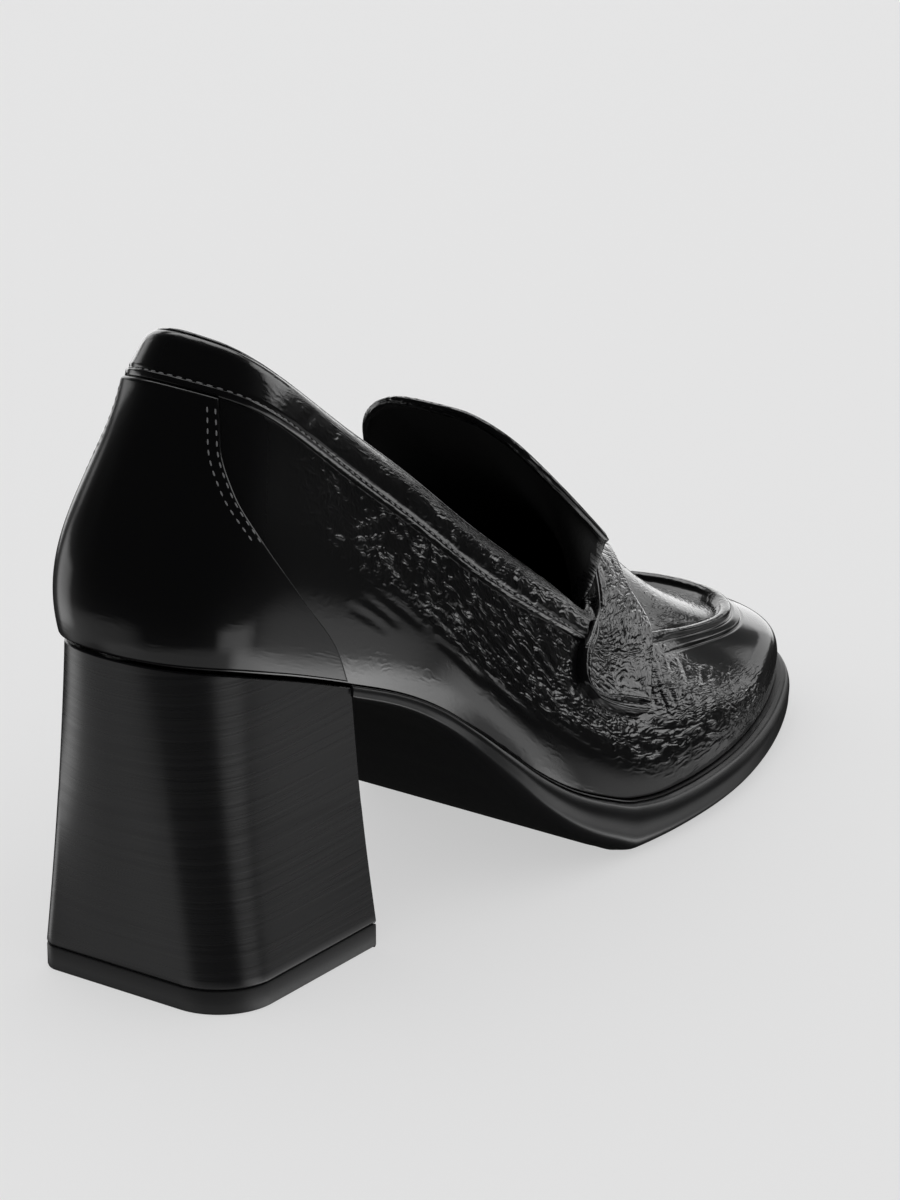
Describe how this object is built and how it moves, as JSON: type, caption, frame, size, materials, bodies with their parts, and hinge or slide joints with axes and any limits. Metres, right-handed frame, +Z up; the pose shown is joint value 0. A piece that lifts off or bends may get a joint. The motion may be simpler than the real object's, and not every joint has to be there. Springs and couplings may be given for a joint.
{
  "type": "loafer pump",
  "caption": "High-heeled loafer pump for the right foot: hollow patent upper with moc-seam apron, saddle strap, raised tongue, collar band, counter, thin-waisted sole and block heel.",
  "frame": {"origin": "on the floor, at the centre of the heel's tread", "axes": "+Y along the shoe to the toe, +X to the wearer's right, which is the outer side of this right shoe, +Z up from the floor"},
  "size_m": [0.0839, 0.2413, 0.1443],
  "materials": {
    "black_patent_leather": "crinkled patent, high gloss",
    "black_lining_leather": "satin",
    "black_sole_rubber": "satin",
    "black_heel_lacquer": "semi-gloss",
    "black_lift_rubber": "satin"
  },
  "bodies": {
    "root": {"upper": "black_patent_leather", "counter": "black_patent_leather", "collar_band": "black_patent_leather", "saddle_strap": "black_patent_leather", "tongue": "black_lining_leather", "insole": "black_lining_leather", "outsole": "black_sole_rubber", "heel_block": "black_heel_lacquer", "top_lift": "black_lift_rubber"}
  },
  "joints": []
}
